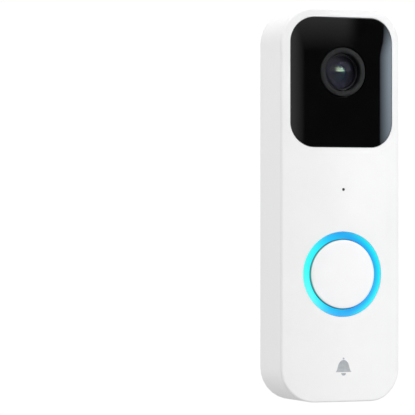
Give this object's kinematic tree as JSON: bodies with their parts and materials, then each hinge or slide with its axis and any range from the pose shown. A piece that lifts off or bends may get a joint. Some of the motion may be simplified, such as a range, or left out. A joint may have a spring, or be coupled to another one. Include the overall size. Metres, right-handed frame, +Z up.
{
  "type": "video doorbell",
  "caption": "Slim upright wall-mounted doorbell with a glossy camera window above a round call button in a lit ring, hooked on a wall plate with a latch at its foot.",
  "frame": {"origin": "centre of the wall plate's back face, on the wall's surface", "axes": "+Z up along the doorbell's length, +X to the viewer's right, +Y into the wall, so the button faces -Y"},
  "size_m": [0.0424, 0.0234, 0.13],
  "materials": {
    "white_abs": "fine matt moulded ABS",
    "black_acrylic": "polished black acrylic",
    "black_nylon": "matt moulded",
    "lens_glass": "coated optical glass",
    "filter_glass": "coated flat glass",
    "light_guide": "satin light guide, lit",
    "grey_silicone": "matt",
    "black_rubber": "matt",
    "adhesive_foam": "matt",
    "circuit_laminate": "solder mask",
    "epoxy_chip": "moulded epoxy",
    "clear_epoxy": "clear cast epoxy",
    "polyimide": "film",
    "tinned_steel": "tinned",
    "sprung_steel": "nickel plated strip",
    "brass": "turned",
    "gold_plate": "gold plated",
    "cell_jacket": "printed sleeve",
    "paper_cone": "matt"
  },
  "bodies": {
    "wall_plate": {"mounting_plate": "white_abs", "terminal_strip_left": "brass", "terminal_strip_right": "brass"},
    "camera_unit": {"rear_housing": "white_abs", "front_cover": "white_abs", "perimeter_seal": "grey_silicone", "camera_window": "black_acrylic", "window_adhesive": "adhesive_foam", "lens_bezel": "black_nylon", "lens_barrel": "black_nylon", "front_lens": "lens_glass", "rear_lens": "lens_glass", "lens_holder": "black_nylon", "image_sensor": "epoxy_chip", "camera_board": "circuit_laminate", "infrared_led_left": "clear_epoxy", "infrared_led_right": "clear_epoxy", "light_sensor": "clear_epoxy", "light_barrier": "black_rubber", "light_ring": "light_guide", "button_membrane": "grey_silicone", "button_switch": "epoxy_chip", "main_board": "circuit_laminate", "processor": "epoxy_chip", "wireless_shield": "tinned_steel", "antenna": "polyimide", "microphone": "tinned_steel", "microphone_gasket": "black_rubber", "ring_led_1": "clear_epoxy", "ring_led_2": "clear_epoxy", "ring_led_3": "clear_epoxy", "ring_led_4": "clear_epoxy", "ring_led_5": "clear_epoxy", "ring_led_6": "clear_epoxy", "speaker_frame": "black_nylon", "speaker_cone": "paper_cone", "speaker_gasket": "black_rubber", "battery_left": "cell_jacket", "battery_right": "cell_jacket", "battery_seal": "black_rubber", "contact_bridge": "sprung_steel", "contact_plate": "sprung_steel", "contact_spring": "sprung_steel", "contact_block": "black_nylon", "camera_flex": "polyimide", "reset_switch": "epoxy_chip", "case_screw_upper_left": "tinned_steel", "case_screw_upper_right": "tinned_steel", "case_screw_lower_left": "tinned_steel", "case_screw_lower_right": "tinned_steel"},
    "latch": {"latch_tongue": "white_abs"},
    "left_terminal_screw": {"terminal_screw_left": "brass"},
    "right_terminal_screw": {"terminal_screw_right": "brass"},
    "button": {"button_cap": "white_abs"},
    "plunger": {"switch_plunger": "brass"},
    "reset": {"reset_button": "grey_silicone"},
    "left_contact_pin": {"contact_pin_left": "gold_plate"},
    "right_contact_pin": {"contact_pin_right": "gold_plate"},
    "night_filter": {"filter_carrier": "black_nylon", "infrared_filter": "filter_glass"}
  },
  "joints": [
    {"name": "unit_tilt", "type": "hinge", "parent": "wall_plate", "child": "camera_unit", "pos_m": [0, -0.0034, 0.0633], "axis": [-1, 0, 0], "range_deg": [0, 15], "deforming": ["latch_tongue"]},
    {"name": "latch_release", "type": "hinge", "parent": "wall_plate", "child": "latch", "pos_m": [-0.0095, -0.002, -0.0601], "axis": [0, -1, 0], "range_deg": [0, 8.5], "stiffness_Nm_per_rad": 0.05},
    {"name": "terminal_screw_left_turn", "type": "hinge", "parent": "wall_plate", "child": "left_terminal_screw", "pos_m": [-0.009, -0.002, 0.0193], "axis": [0, -1, 0], "range_deg": [0, 360]},
    {"name": "terminal_screw_right_turn", "type": "hinge", "parent": "wall_plate", "child": "right_terminal_screw", "pos_m": [0.009, -0.002, 0.0193], "axis": [0, -1, 0], "range_deg": [0, 360]},
    {"name": "button_press", "type": "slide", "parent": "camera_unit", "child": "button", "axis": [0, 1, 0], "range_m": [0, 0.0005], "stiffness_N_per_m": 1200, "springref_m": -0.0004, "deforming": ["button_membrane"]},
    {"name": "switch_plunger_press", "type": "slide", "parent": "camera_unit", "child": "plunger", "axis": [0, 1, 0], "range_m": [0, 0.00025], "deforming": ["button_membrane"]},
    {"name": "reset_press", "type": "slide", "parent": "camera_unit", "child": "reset", "axis": [0, -1, 0], "range_m": [0, 0.0004], "stiffness_N_per_m": 600, "springref_m": -0.0004},
    {"name": "contact_pin_left_slide", "type": "slide", "parent": "camera_unit", "child": "left_contact_pin", "axis": [0, -1, 0], "range_m": [0, 0.0012], "stiffness_N_per_m": 400, "springref_m": -0.0008},
    {"name": "contact_pin_right_slide", "type": "slide", "parent": "camera_unit", "child": "right_contact_pin", "axis": [0, -1, 0], "range_m": [0, 0.0012], "stiffness_N_per_m": 400, "springref_m": -0.0008},
    {"name": "night_filter_slide", "type": "slide", "parent": "camera_unit", "child": "night_filter", "axis": [1, 0, 0], "range_m": [0, 0.0056]}
  ],
  "couplings": [
    {"joint": "switch_plunger_press", "follows": "button_press", "ratio": 0.5}
  ]
}
